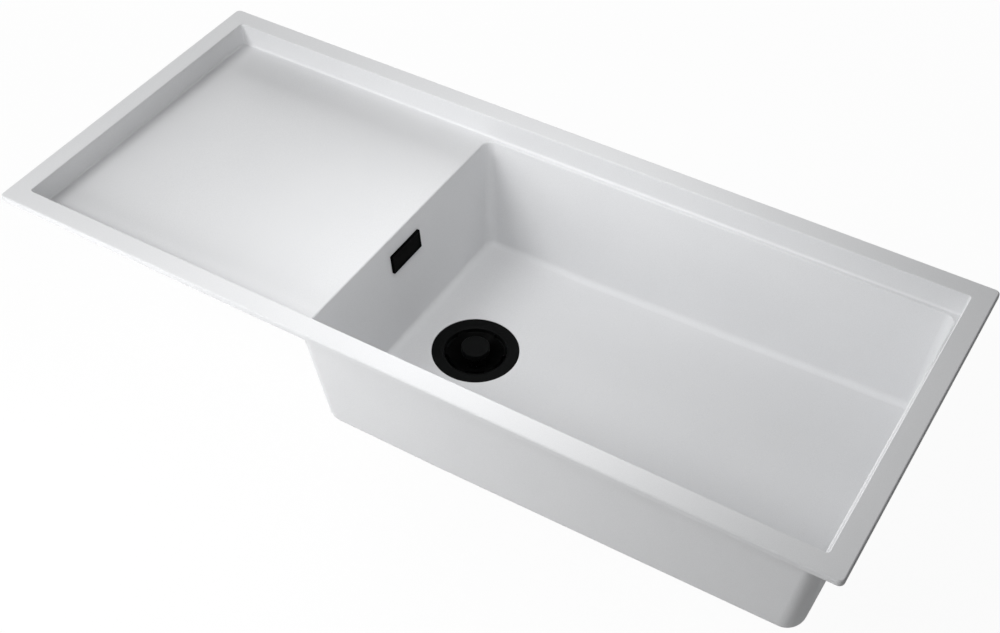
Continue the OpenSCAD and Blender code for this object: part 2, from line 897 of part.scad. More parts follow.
// Outer rings: a plain cuff, then valley and crest in turn, then a plain cuff
first_rib = cuff_entry + cuff_length;
outer_rings = concat(
    [[0, cuff_r], [first_rib, cuff_r]],
    [
        for (k = [0 : rib_count - 1], crest = [0, 1])
            [
                first_rib + (k + rib_crest_shares[crest]) * ribbed_length / rib_count,
                crest == 0 ? hose_r - rib_depth : hose_r
            ]
    ],
    [[hose_length - first_rib, cuff_r], [hose_length, cuff_r]]
);
inner_rings = [for (k = [bore_rings : -1 : 0]) [k * hose_length / bore_rings, hose_bore_r]];
hose_rings = concat(outer_rings, inner_rings);
hose_points = [for (ring = hose_rings) each hose_ring(ring[0], ring[1])];
hose_faces = [
    for (k = [0 : len(hose_rings) - 1], j = [0 : hose_sides - 1])
        let (
            next_ring = (k + 1) % len(hose_rings),
            next_side = (j + 1) % hose_sides,
            a = k * hose_sides + j,
            b = k * hose_sides + next_side,
            c = next_ring * hose_sides + next_side,
            d = next_ring * hose_sides + j
        )
        each [[a, b, c], [a, c, d]]
];

module overflow_hose() {
    color("gainsboro")
        polyhedron(points = hose_points, faces = hose_faces);
}

// Fixing clips

clip_head_top = tray_bottom_z + clip_entry - clip_screw_length;
clip_washer_z = clip_head_top + seat_gap;
claw_z = clip_washer_z + clip_washer + seat_gap;

module clip_inserts() {
    color("goldenrod")
        for (index = [0 : len(clip_places) - 1])
            at_clip(index)
                translate([0, 0, tray_bottom_z])
                    washer(clip_insert_r, clip_screw_r + running_gap, clip_insert_length);
}

module clip_screw(index) {
    color("silver")
        at_clip(index)
            difference() {
                union() {
                    translate([0, 0, clip_head_top])
                        cylinder(r = clip_screw_r, h = clip_screw_length, $fn = small_fn);
                    translate([0, 0, clip_head_top - clip_head])
                        cylinder(r = clip_head_r, h = clip_head, $fn = small_fn);
                }
                translate([0, 0, clip_head_top - clip_head - cut])
                    cylinder(r = clip_recess_r, h = clip_recess + cut, $fn = 6);
            }
}

module clip_washer(index) {
    color("lightgray")
        at_clip(index)
            translate([0, 0, clip_washer_z])
                washer(clip_washer_r, clip_screw_r + seat_gap, clip_washer);
}

module clip_claw(index) {
    color("gray")
        at_clip(index)
            translate([0, 0, claw_z])
                difference() {
                    union() {
                        cylinder(r = claw_eye_r, h = claw_thickness);
                        translate([-claw_inner, 0, 0])
                            cube([claw_inner + claw_eye_r, claw_reach, claw_thickness]);
                        translate([claw_tip_inner, claw_reach - claw_thickness, 0])
                            cube([claw_eye_r - claw_tip_inner, claw_thickness, claw_height]);
                        translate([-claw_inner, -claw_eye_r, 0])
                            cube([2 * claw_inner, claw_thickness, claw_heel]);
                    }
                    translate([0, 0, -cut])
                        cylinder(r = clip_screw_r + seat_gap, h = claw_thickness + 2 * cut);
                }
}

sink_body();
rim_seal();
strainer_flange();
flange_gasket();
lower_gasket();
waste_body();
waste_insert();
waste_screw();
basket();
basket_knob();
basket_seal();
basket_nut();
overflow_cover();
overflow_frame();
overflow_screws();
overflow_gasket();
overflow_elbow();
overflow_hose();
hose_nut_upper();
hose_nut_lower();
hose_cone_upper();
hose_cone_lower();
clip_inserts();
clip_screw(0);  // clip_screw_1
clip_screw(1);  // clip_screw_2
clip_screw(2);  // clip_screw_3
clip_screw(3);  // clip_screw_4
clip_screw(4);  // clip_screw_5
clip_screw(5);  // clip_screw_6
clip_washer(0);  // clip_washer_1
clip_washer(1);  // clip_washer_2
clip_washer(2);  // clip_washer_3
clip_washer(3);  // clip_washer_4
clip_washer(4);  // clip_washer_5
clip_washer(5);  // clip_washer_6
clip_claw(0);  // clip_claw_1
clip_claw(1);  // clip_claw_2
clip_claw(2);  // clip_claw_3
clip_claw(3);  // clip_claw_4
clip_claw(4);  // clip_claw_5
clip_claw(5);  // clip_claw_6
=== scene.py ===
"""Looks for a drainboard sink: camera, light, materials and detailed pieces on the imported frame.

Lengths are written in millimetres, as in the part's source, and turned into metres when a mesh is made.
"""

import math

import bmesh
import bpy
import numpy as np
from mathutils import Matrix, Vector
from mathutils.geometry import delaunay_2d_cdt


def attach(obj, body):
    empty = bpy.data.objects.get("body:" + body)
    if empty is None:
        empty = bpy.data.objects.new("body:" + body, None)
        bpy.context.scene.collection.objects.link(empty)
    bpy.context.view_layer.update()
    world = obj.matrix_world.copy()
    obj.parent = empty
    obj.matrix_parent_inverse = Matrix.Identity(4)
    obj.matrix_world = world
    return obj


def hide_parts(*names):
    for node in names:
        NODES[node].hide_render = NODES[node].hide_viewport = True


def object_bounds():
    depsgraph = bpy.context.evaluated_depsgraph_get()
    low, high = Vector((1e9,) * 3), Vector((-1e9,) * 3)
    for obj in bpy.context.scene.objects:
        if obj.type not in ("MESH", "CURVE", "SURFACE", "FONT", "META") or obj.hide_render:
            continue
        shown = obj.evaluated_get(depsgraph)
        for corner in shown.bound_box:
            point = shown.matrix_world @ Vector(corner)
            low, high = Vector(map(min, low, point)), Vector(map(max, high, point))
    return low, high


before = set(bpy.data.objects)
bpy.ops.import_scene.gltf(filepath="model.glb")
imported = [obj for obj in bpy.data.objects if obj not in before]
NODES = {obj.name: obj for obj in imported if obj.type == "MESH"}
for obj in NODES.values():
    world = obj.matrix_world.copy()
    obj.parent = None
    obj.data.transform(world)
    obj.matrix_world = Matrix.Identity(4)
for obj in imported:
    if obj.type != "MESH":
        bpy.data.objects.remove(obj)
cad_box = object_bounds()
scene = bpy.context.scene
MM = 0.001

# Sizes of the part, in mm

SINK_LENGTH, SINK_DEPTH = 1160.0, 500.0
RIM_WIDTH, RIM_HEIGHT, RIM_EDGE, RIM_CORNER = 28.0, 8.0, 2.4, 7.0
BOARD_Z, LEDGE_Z = -25.0, -26.0
BOARD_THICKNESS, TRAY_WALL, TRAY_FOOT = 9.0, 8.0, 13.0
POCKET_CORNER, STEP_FILLET = 4.0, 3.0
BOWL_LENGTH, LEDGE_WIDTH, BOWL_DEPTH = 668.0, 8.0, 202.0
BOWL_WALL, FLOOR_THICKNESS, FLOOR_RISE = 8.7, 7.5, 11.0
END_LEAN, SIDE_LEAN = 0.1, 0.12
BOWL_CORNER, BOWL_FILLET, OUTER_CORNER, OUTER_FOOT = 14.0, 10.0, 21.0, 25.0
FLOOR_PAD = 3.7

HALF_LENGTH, HALF_DEPTH = SINK_LENGTH / 2, SINK_DEPTH / 2
POCKET_X, POCKET_Y = HALF_LENGTH - RIM_WIDTH, HALF_DEPTH - RIM_WIDTH
TRAY_X, TRAY_Y, TRAY_Z = POCKET_X + TRAY_WALL, POCKET_Y + TRAY_WALL, LEDGE_Z - BOARD_THICKNESS
BOWL_RIGHT = POCKET_X - LEDGE_WIDTH
BOWL_LEFT = BOWL_RIGHT - BOWL_LENGTH
BOWL_Y = POCKET_Y - LEDGE_WIDTH
FLOOR_Z = RIM_HEIGHT - BOWL_DEPTH
WALL_ANGLE, SIDE_ANGLE = math.atan(END_LEAN), math.atan(SIDE_LEAN)
WASTE_FROM_WALL, FLANGE_R, LEVEL_MARGIN = 112.0, 59.0, 9.0
WASTE_X = BOWL_LEFT + WASTE_FROM_WALL
LEVEL_END = WASTE_X + FLANGE_R + LEVEL_MARGIN
RIM_ROUND, BOWL_ROUND = 1.5, 1.8
PAD_R, PAD_SIDES = 58.0, 96
FLANGE_SEAT_R, FLANGE_SEAT_DEPTH, WASTE_HOLE_R, WASTE_HOLE_END, HOLE_SIDES = 59.3, 2.7, 45.0, 16.0, 128
CUTTER_TOP = 20.0
MOUTH_TURN = 84.3

# Camera at the photograph's view

YAW, PITCH, ROLL = -0.555723755, 0.780088237, -0.00456010801
EYE = (746.6845, -1216.830557, 1294.39767)
FOCAL, CENTRE_X, CENTRE_Y = 1537.45963, 477.2, 313.15
FRAME_W, FRAME_H = 1000.0, 633.0


def make_camera():
    forward = Vector((math.sin(YAW) * math.cos(PITCH), math.cos(YAW) * math.cos(PITCH), -math.sin(PITCH)))
    level = Vector((math.cos(YAW), -math.sin(YAW), 0))
    lift = level.cross(forward)
    right = level * math.cos(ROLL) + lift * math.sin(ROLL)
    up = lift * math.cos(ROLL) - level * math.sin(ROLL)
    data = bpy.data.cameras.new("photo_camera")
    data.sensor_width = 36.0
    data.lens = FOCAL * data.sensor_width / FRAME_W
    data.shift_x = (FRAME_W / 2 - CENTRE_X) / FRAME_W
    data.shift_y = (CENTRE_Y - FRAME_H / 2) / FRAME_W
    data.clip_start, data.clip_end = 0.05, 60.0
    camera = bpy.data.objects.new("photo_camera", data)
    scene.collection.objects.link(camera)
    camera.matrix_world = Matrix(
        [
            [right.x, up.x, -forward.x, EYE[0] * MM],
            [right.y, up.y, -forward.y, EYE[1] * MM],
            [right.z, up.z, -forward.z, EYE[2] * MM],
            [0, 0, 0, 1],
        ]
    )
    scene.camera = camera


# Materials


class Tree:
    """A material's node tree, with short calls for the nodes used here."""

    def __init__(self, name):
        self.material = bpy.data.materials.new(name)
        self.material.use_nodes = True
        self.nodes = self.material.node_tree.nodes
        self.links = self.material.node_tree.links
        self.nodes.clear()
        self.out = self.nodes.new("ShaderNodeOutputMaterial")
        self.shader = self.nodes.new("ShaderNodeBsdfPrincipled")
        self.links.new(self.shader.outputs[0], self.out.inputs[0])
        self.place = self.nodes.new("ShaderNodeTexCoord").outputs["Object"]

    def set(self, **values):
        for key, value in values.items():
            self.shader.inputs[key.replace("_", " ")].default_value = value

    def noise(self, scale, detail=2.0, rough=0.5, stretch=None):
        node = self.nodes.new("ShaderNodeTexNoise")
        node.inputs["Scale"].default_value = scale
        node.inputs["Detail"].default_value = detail
        node.inputs["Roughness"].default_value = rough
        self.links.new(self.stretched(stretch), node.inputs["Vector"])
        return node.outputs["Fac"]

    def cells(self, scale):
        node = self.nodes.new("ShaderNodeTexVoronoi")
        node.inputs["Scale"].default_value = scale
        self.links.new(self.place, node.inputs["Vector"])
        return node.outputs["Distance"]

    def stretched(self, stretch):
        if stretch is None:
            return self.place
        node = self.nodes.new("ShaderNodeMapping")
        node.inputs["Scale"].default_value = stretch
        self.links.new(self.place, node.inputs["Vector"])
        return node.outputs["Vector"]

    def ramp(self, source, stops):
        node = self.nodes.new("ShaderNodeValToRGB")
        ramp = node.color_ramp
        while len(ramp.elements) < len(stops):
            ramp.elements.new(0.5)
        for element, (place, colour) in zip(ramp.elements, stops):
            element.position = place
            element.color = (*colour, 1)
        self.links.new(source, node.inputs["Fac"])
        return node.outputs["Color"]

    def spread(self, source, low, high):
        node = self.nodes.new("ShaderNodeMapRange")
        node.inputs["From Min"].default_value = 0.3
        node.inputs["From Max"].default_value = 0.7
        node.inputs["To Min"].default_value = low
        node.inputs["To Max"].default_value = high
        self.links.new(source, node.inputs["Value"])
        return node.outputs["Result"]

    def mix(self, factor, a, b, blend):
        node = self.nodes.new("ShaderNodeMix")
        node.data_type = "RGBA"
        node.blend_type = blend
        node.inputs[0].default_value = factor
        self.links.new(a, node.inputs[6])
        self.links.new(b, node.inputs[7])
        return node.outputs[2]

    def bump(self, *layers):
        """Each layer is (height source, strength, distance in metres), the first one lowest."""
        normal = None
        for source, strength, distance in layers:
            node = self.nodes.new("ShaderNodeBump")
            node.inputs["Strength"].default_value = strength
            node.inputs["Distance"].default_value = distance
            self.links.new(source, node.inputs["Height"])
            if normal is not None:
                self.links.new(normal, node.inputs["Normal"])
            normal = node.outputs["Normal"]
        self.links.new(normal, self.shader.inputs["Normal"])

    def use(self, name, source):
        self.links.new(source, self.shader.inputs[name])


def composite():
    t = Tree("white_composite")
    t.set(Roughness=0.7, Specular_IOR_Level=0.3)
    cloud = t.ramp(t.noise(9.0, 3.0), [(0.3, (0.700, 0.706, 0.717)), (0.7, (0.715, 0.720, 0.730))])
    grain = t.ramp(t.noise(1400.0, 1.0), [(0.34, (0.94, 0.94, 0.94)), (0.62, (1.0, 1.0, 1.0))])
    t.use("Base Color", t.mix(1.0, cloud, grain, "MULTIPLY"))
    t.use("Roughness", t.spread(t.noise(260.0, 3.0), 0.64, 0.76))
    t.bump((t.noise(160.0, 3.0), 0.06, 0.0006), (t.noise(1700.0, 2.0), 0.10, 0.00025))
    return t.material


def coated_steel(name, dark, light, gloss):
    t = Tree(name)
    t.set(Specular_IOR_Level=gloss)
    t.use("Base Color", t.ramp(t.noise(700.0, 2.0), [(0.3, dark), (0.7, light)]))
    t.use("Roughness", t.spread(t.noise(350.0, 3.0), 0.3, 0.42))
    t.bump((t.noise(900.0, 2.0), 0.08, 0.0001), (t.cells(2600.0), 0.05, 0.00005))
    return t.material


def black_plastic():
    t = Tree("black_plastic")
    t.set(Roughness=0.45, Specular_IOR_Level=0.45)
    t.use("Base Color", t.ramp(t.noise(60.0, 3.0), [(0.3, (0.013, 0.013, 0.014)), (0.7, (0.019, 0.019, 0.02))]))
    t.use("Roughness", t.spread(t.noise(500.0, 3.0), 0.36, 0.5))
    t.bump((t.cells(1500.0), 0.18, 0.00008), (t.noise(45.0, 2.0), 0.04, 0.0008))
    return t.material


def grey_plastic():
    t = Tree("grey_plastic")
    t.set(Roughness=0.5, Specular_IOR_Level=0.4, Subsurface_Weight=0.08, Subsurface_Radius=(0.004, 0.004, 0.003))
    t.set(Subsurface_Scale=0.5)
    t.use("Base Color", t.ramp(t.noise(40.0, 3.0), [(0.3, (0.53, 0.54, 0.55)), (0.7, (0.6, 0.605, 0.61))]))
    t.use("Roughness", t.spread(t.noise(300.0, 2.0), 0.42, 0.58))
    t.bump((t.noise(900.0, 2.0), 0.1, 0.0001))
    return t.material


def seal_rubber():
    t = Tree("seal_rubber")
    t.set(Roughness=0.8, Specular_IOR_Level=0.25)
    t.use("Base Color", t.ramp(t.noise(300.0, 3.0), [(0.3, (0.010, 0.010, 0.010)), (0.7, (0.021, 0.021, 0.021))]))
    t.bump((t.noise(1200.0, 3.0), 0.25, 0.00015))
    return t.material


def seal_foam():
    t = Tree("seal_foam")
    t.set(Roughness=0.95, Specular_IOR_Level=0.15, Sheen_Weight=0.15, Sheen_Roughness=0.6)
    pores = t.cells(1100.0)
    t.use("Base Color", t.ramp(pores, [(0.1, (0.03, 0.03, 0.032)), (0.55, (0.10, 0.10, 0.104))]))
    t.bump((pores, 0.7, 0.0005))
    return t.material


def metal(name, dark, light, rough, scratch, blotch):
    t = Tree(name)
    t.set(Metallic=1.0, Roughness=sum(rough) / 2)
    t.use("Base Color", t.ramp(t.noise(blotch, 4.0, 0.6), [(0.32, dark), (0.68, light)]))
    t.use("Roughness", t.spread(t.noise(220.0, 4.0), *rough))
    t.bump((t.noise(900.0, 2.0, 0.5, scratch), 0.16, 0.00008))
    return t.material


MATERIALS = {
    "composite": composite(),
    "coated_steel": coated_steel("black_coated_steel", (0.0029, 0.0032, 0.0032), (0.0043, 0.0047, 0.0047), 0.03),
    "black_plastic": black_plastic(),
    "grey_plastic": grey_plastic(),
    "seal_rubber": seal_rubber(),
    "seal_foam": seal_foam(),
    "steel": metal("stainless_steel", (0.50, 0.50, 0.50), (0.62, 0.62, 0.61), (0.24, 0.38), (1, 1, 12), 60.0),
    "zinc_steel": metal("zinc_plated_steel", (0.46, 0.48, 0.51), (0.66, 0.67, 0.68), (0.3, 0.5), (1, 1, 5), 130.0),
    "brass": metal("brass", (0.56, 0.40, 0.17), (0.70, 0.52, 0.24), (0.25, 0.42), (1, 1, 8), 90.0),
}

# The cover and the basket are of the same steel; this darker copy of its coat paints the shade that falls in the
# basket's deep hollow and on the cover
SHADE_DARKENED_COAT = coated_steel("shade_darkened_black_coated_steel", (0.0008, 0.0009, 0.0009), (0.0013, 0.0014, 0.0014), 0.012)

# Mesh helpers


def arc(centre, radius, start, end, steps):
    """Points on an arc, angles in degrees."""
    out = []
    for k in range(steps + 1):
        a = math.radians(start + (end - start) * k / steps)
        out.append((centre[0] + radius * math.cos(a), centre[1] + radius * math.sin(a)))
    return out


def soften(points, radii, steps):
    """A closed outline with each corner rounded, by at most its radius and a third of its shorter side."""
    out = []
    n = len(points)
    for i, (p, r) in enumerate(zip(points, radii)):
        p = Vector(p)
        to_a, to_b = Vector(points[i - 1]) - p, Vector(points[(i + 1) % n]) - p
        turn = to_a.angle(to_b)
        if r <= 0 or turn > math.radians(172):
            out.append(tuple(p))
            continue
        back = min(r / math.tan(turn / 2), 0.33 * min(to_a.length, to_b.length))
        a, b = p + to_a.normalized() * back, p + to_b.normalized() * back
        for k in range(steps + 1):
            s = k / steps
            out.append(tuple(a * (1 - s) ** 2 + p * 2 * s * (1 - s) + b * s * s))
    return out


def mesh_object(name, points, faces, merge=1e-6):
    """An object from points in mm, welded and with its normals outward."""
    mesh = bpy.data.meshes.new(name)
    mesh.from_pydata([(x * MM, y * MM, z * MM) for x, y, z in points], [], faces)
    tidy = bmesh.new()
    tidy.from_mesh(mesh)
    bmesh.ops.remove_doubles(tidy, verts=tidy.verts, dist=merge)
    bmesh.ops.recalc_face_normals(tidy, faces=tidy.faces)
    tidy.to_mesh(mesh)
    tidy.free()
    obj = bpy.data.objects.new(name, mesh)
    scene.collection.objects.link(obj)
    return obj


def lathe(name, outline, sides, at):
    """A closed outline of (radius, height) turned about the upright axis at a place."""
    points, faces = [], []
    n = len(outline)
    for r, z in outline:
        for k in range(sides):
            a = 2 * math.pi * k / sides
            points.append((at[0] + r * math.cos(a), at[1] + r * math.sin(a), at[2] + z))
    for i in range(n):
        j = (i + 1) % n
        if outline[i][0] < 1e-6 and outline[j][0] < 1e-6:
            continue
        for k in range(sides):
            m = (k + 1) % sides
            faces.append((i * sides + k, i * sides + m, j * sides + m, j * sides + k))
    return mesh_object(name, points, faces)


def loft(rings, cap=True):
    """Quads between rings that all have the same number of points, with flat caps."""
    points = [p for ring in rings for p in ring]
    n = len(rings[0])
    faces = []
    for i in range(len(rings) - 1):
        for k in range(n):
            m = (k + 1) % n
            faces.append((i * n + k, i * n + m, (i + 1) * n + m, (i + 1) * n + k))
    if cap:
        last = (len(rings) - 1) * n
        faces.append(tuple(range(n - 1, -1, -1)))
        faces.append(tuple(range(last, last + n)))
    return points, faces


def box_ring(left, right, y_left, y_right, z_left, z_right, radius, steps=8, break_x=None, break_at=None):
    """A rounded rectangle given by the centres of its corner arcs. The front and back sides can have one more point
    each, at break_x, level with the left or the right corner."""
    corners = [
        (left, -y_left, z_left, 180),
        (right, -y_right, z_right, 270),
        (right, y_right, z_right, 0),
        (left, y_left, z_left, 90),
    ]
    out = []
    for i, (cx, cy, cz, start) in enumerate(corners):
        out += [(x, y, cz) for x, y in arc((cx, cy), radius, start, start + 90, steps)]
        if break_x is not None and i in (0, 2):
            y_break = (y_left if break_at == "left" else y_right) + radius
            z_break = z_left if break_at == "left" else z_right
            out.append((break_x, -y_break if i == 0 else y_break, z_break))
    return out


def plain_ring(half_x, half_y, z, radius, steps=8):
    x, y = half_x - radius, half_y - radius
    return box_ring(-x, x, y, y, z, z, radius, steps)


def fill_between(outer, inner, folds, height):
    """Triangles between two rings seen from above. folds are extra edges, as pairs of points."""
    points = [(p[0], p[1]) for p in outer] + [(p[0], p[1]) for p in inner]
    n, m = len(outer), len(inner)
    edges = [(k, (k + 1) % n) for k in range(n)] + [(n + k, n + (k + 1) % m) for k in range(m)]
    for a, b in folds:
        ends = []
        for p in (a, b):
            d = [(q[0] - p[0]) ** 2 + (q[1] - p[1]) ** 2 for q in points]
            ends.append(int(np.argmin(d)))
        edges.append(tuple(ends))
    made, _, tris, *_ = delaunay_2d_cdt([Vector(p) for p in points], edges, [], 1, 1e-7)
    hole = np.array([(p[0], p[1]) for p in inner])

    def in_hole(x, y):
        a, b = hole, np.roll(hole, -1, 0)
        cross = (a[:, 1] > y) != (b[:, 1] > y)
        with np.errstate(divide="ignore", invalid="ignore"):
            at = (b[:, 0] - a[:, 0]) * (y - a[:, 1]) / (b[:, 1] - a[:, 1]) + a[:, 0]
        return int(np.count_nonzero(cross & (x < at))) % 2 == 1

    faces = []
    for tri in tris:
        x = sum(made[v][0] for v in tri) / 3
        y = sum(made[v][1] for v in tri) / 3
        if not in_hole(x, y):
            faces.append(tuple(tri))
    return [(v[0], v[1], height(v[0])) for v in made], faces


def join_parts(name, *parts):
    points, faces = [], []
    for part_points, part_faces in parts:
        start = len(points)
        points += part_points
        faces += [tuple(v + start for v in f) for f in part_faces]
    return mesh_object(name, points, faces, 2e-6)


def combine(obj, others, operation):
    """Joins or cuts closed meshes, and removes the others."""
    for other in others:
        step = obj.modifiers.new("combine", "BOOLEAN")
        step.operation = operation
        step.object = other
        step.solver = "EXACT"
    bpy.context.view_layer.update()
    done = bpy.data.meshes.new_from_object(obj.evaluated_get(bpy.context.evaluated_depsgraph_get()))
    obj.modifiers.clear()
    old, obj.data = obj.data, done
    bpy.data.meshes.remove(old)
    for other in others:
        mesh = other.data
        bpy.data.objects.remove(other)
        bpy.data.meshes.remove(mesh)


def finish_mesh(obj, angle):
    """Smooth shading, sharp over the angle, with the large faces setting the normals."""
    tidy = bmesh.new()
    tidy.from_mesh(obj.data)
    bmesh.ops.remove_doubles(tidy, verts=tidy.verts, dist=2e-6)
    bmesh.ops.dissolve_degenerate(tidy, edges=tidy.edges, dist=1e-6)
    tidy.to_mesh(obj.data)
    tidy.free()
    obj.data.shade_smooth()
    obj.data.set_sharp_from_angle(angle=math.radians(angle))
    weighted = obj.modifiers.new("normals", "WEIGHTED_NORMAL")
    weighted.mode = "FACE_AREA"
    weighted.weight = 80
    weighted.keep_sharp = True


def dress(obj, body, slot, replaced, angle=32.0, material=None):
    finish_mesh(obj, angle)
    obj.data.materials.clear()
    obj.data.materials.append(material or MATERIALS[slot])
    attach(obj, body)
    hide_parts(*replaced)


def cylinder(radius, low, high, at=(0, 0), sides=48):
    rings = [[(at[0] + x, at[1] + y, z) for x, y in arc((0, 0), radius, 0, 360, sides)[:-1]] for z in (low, high)]
    return loft(rings)


def moved(part, matrix):
    points, faces = part
    return [tuple(matrix @ Vector(p)) for p in points], faces


# Sink body


def bowl_ring_at(grow, drop, corner, foot, turn=None, steps=8):
    """A ring of the bowl's skin. turn is the angle up the foot's fillet in degrees, and None is the ring at the
    ledge."""
    level = FLOOR_Z - drop
    if turn is None:
        y = BOWL_Y + grow - corner
        return box_ring(
            BOWL_LEFT - grow + corner, BOWL_RIGHT + grow - corner, y, y, LEDGE_Z, LEDGE_Z, corner, steps,
            LEVEL_END, "left",
        )
    spare = max(corner - foot, 0.0)
    out, up = foot * math.sin(math.radians(turn)), foot * (1 - math.cos(math.radians(turn)))
    fall_left, fall_right = LEDGE_Z - level - foot, LEDGE_Z - level - FLOOR_RISE - foot
    reach_x = [spare + foot / math.cos(WALL_ANGLE) + END_LEAN * fall for fall in (fall_left, fall_right)]
    reach_y = [spare + foot / math.cos(SIDE_ANGLE) + SIDE_LEAN * fall for fall in (fall_left, fall_right)]
    return box_ring(
        BOWL_LEFT - grow + reach_x[0], BOWL_RIGHT + grow - reach_x[1],
        BOWL_Y + grow - reach_y[0], BOWL_Y + grow - reach_y[1],
        level + up, level + FLOOR_RISE + up, max(spare + out, 0.02), steps, LEVEL_END, "left",
    )


def floor_height(level, end_x):
    return lambda x: level + FLOOR_RISE * max(0.0, (x - LEVEL_END) / (end_x - LEVEL_END))


def bowl_outer():
    grow, corner, foot, drop = BOWL_WALL, OUTER_CORNER, OUTER_FOOT, FLOOR_THICKNESS
    turns = np.linspace(0, 90 - math.degrees(SIDE_ANGLE), 13)
    rings = [bowl_ring_at(grow, drop, corner, foot, t, 12) for t in turns]
    rings.append(bowl_ring_at(grow, drop, corner, foot, None, 12))
    points, faces = loft(rings, cap=False)
    n = len(rings[0])
    last = (len(rings) - 1) * n
    faces.append(tuple(range(last, last + n)))
    base = rings[0]
    end_x = max(p[0] for p in base)
    height = floor_height(FLOOR_Z - drop, end_x)
    pad = [(x, y, 0) for x, y in arc((WASTE_X, 0), PAD_R - 2, 0, 360, PAD_SIDES)[:-1]]
    fold = [p for p in base if abs(p[0] - LEVEL_END) < 1e-6]
    under = fill_between(base, pad, [(fold[0], fold[1])], height)
    top = FLOOR_Z - drop
    outline = [(PAD_R - 2, top), (PAD_R - 0.4, top - 0.25), (PAD_R, top - 0.8), (PAD_R, top - FLOOR_PAD)]
    rings = [[(WASTE_X + x, y, z) for x, y in arc((0, 0), r, 0, 360, PAD_SIDES)[:-1]] for r, z in outline]
    pad_points, pad_faces = loft(rings, cap=False)
    pad_faces.append(tuple(range(3 * PAD_SIDES, 4 * PAD_SIDES)))
    return join_parts("composite_bowl", (points, faces), under, (pad_points, pad_faces))


def rim_and_tray():
    rings = []
    for k in range(9):
        a = math.radians(90 * k / 8)
        out = TRAY_FOOT * (1 - math.sin(a))
        z = TRAY_Z + TRAY_FOOT * (1 - math.cos(a))
        rings.append(plain_ring(TRAY_X - out, TRAY_Y - out, z, max(TRAY_FOOT - out, 0.05)))
    rings.append(plain_ring(TRAY_X, TRAY_Y, -1.0, TRAY_FOOT))
    rings.append(plain_ring(TRAY_X + 0.35, TRAY_Y + 0.35, -0.3, TRAY_FOOT))
    rings.append(plain_ring(TRAY_X + 1.0, TRAY_Y + 1.0, 0.0, TRAY_FOOT))
    rings.append(plain_ring(HALF_LENGTH - 0.5, HALF_DEPTH - 0.5, 0.0, RIM_CORNER - 0.5))
    rings.append(plain_ring(HALF_LENGTH - 0.15, HALF_DEPTH - 0.15, 0.15, RIM_CORNER - 0.15))
    rings.append(plain_ring(HALF_LENGTH, HALF_DEPTH, 0.5, RIM_CORNER))
    for k in range(7):
        a = math.radians(90 * k / 6)
        out = RIM_EDGE * (1 - math.cos(a))
        z = RIM_HEIGHT - RIM_EDGE * (1 - math.sin(a))
        rings.append(plain_ring(HALF_LENGTH - out, HALF_DEPTH - out, z, RIM_CORNER - out))
    points, faces = loft(rings)
    return mesh_object("composite_rim", points, faces)


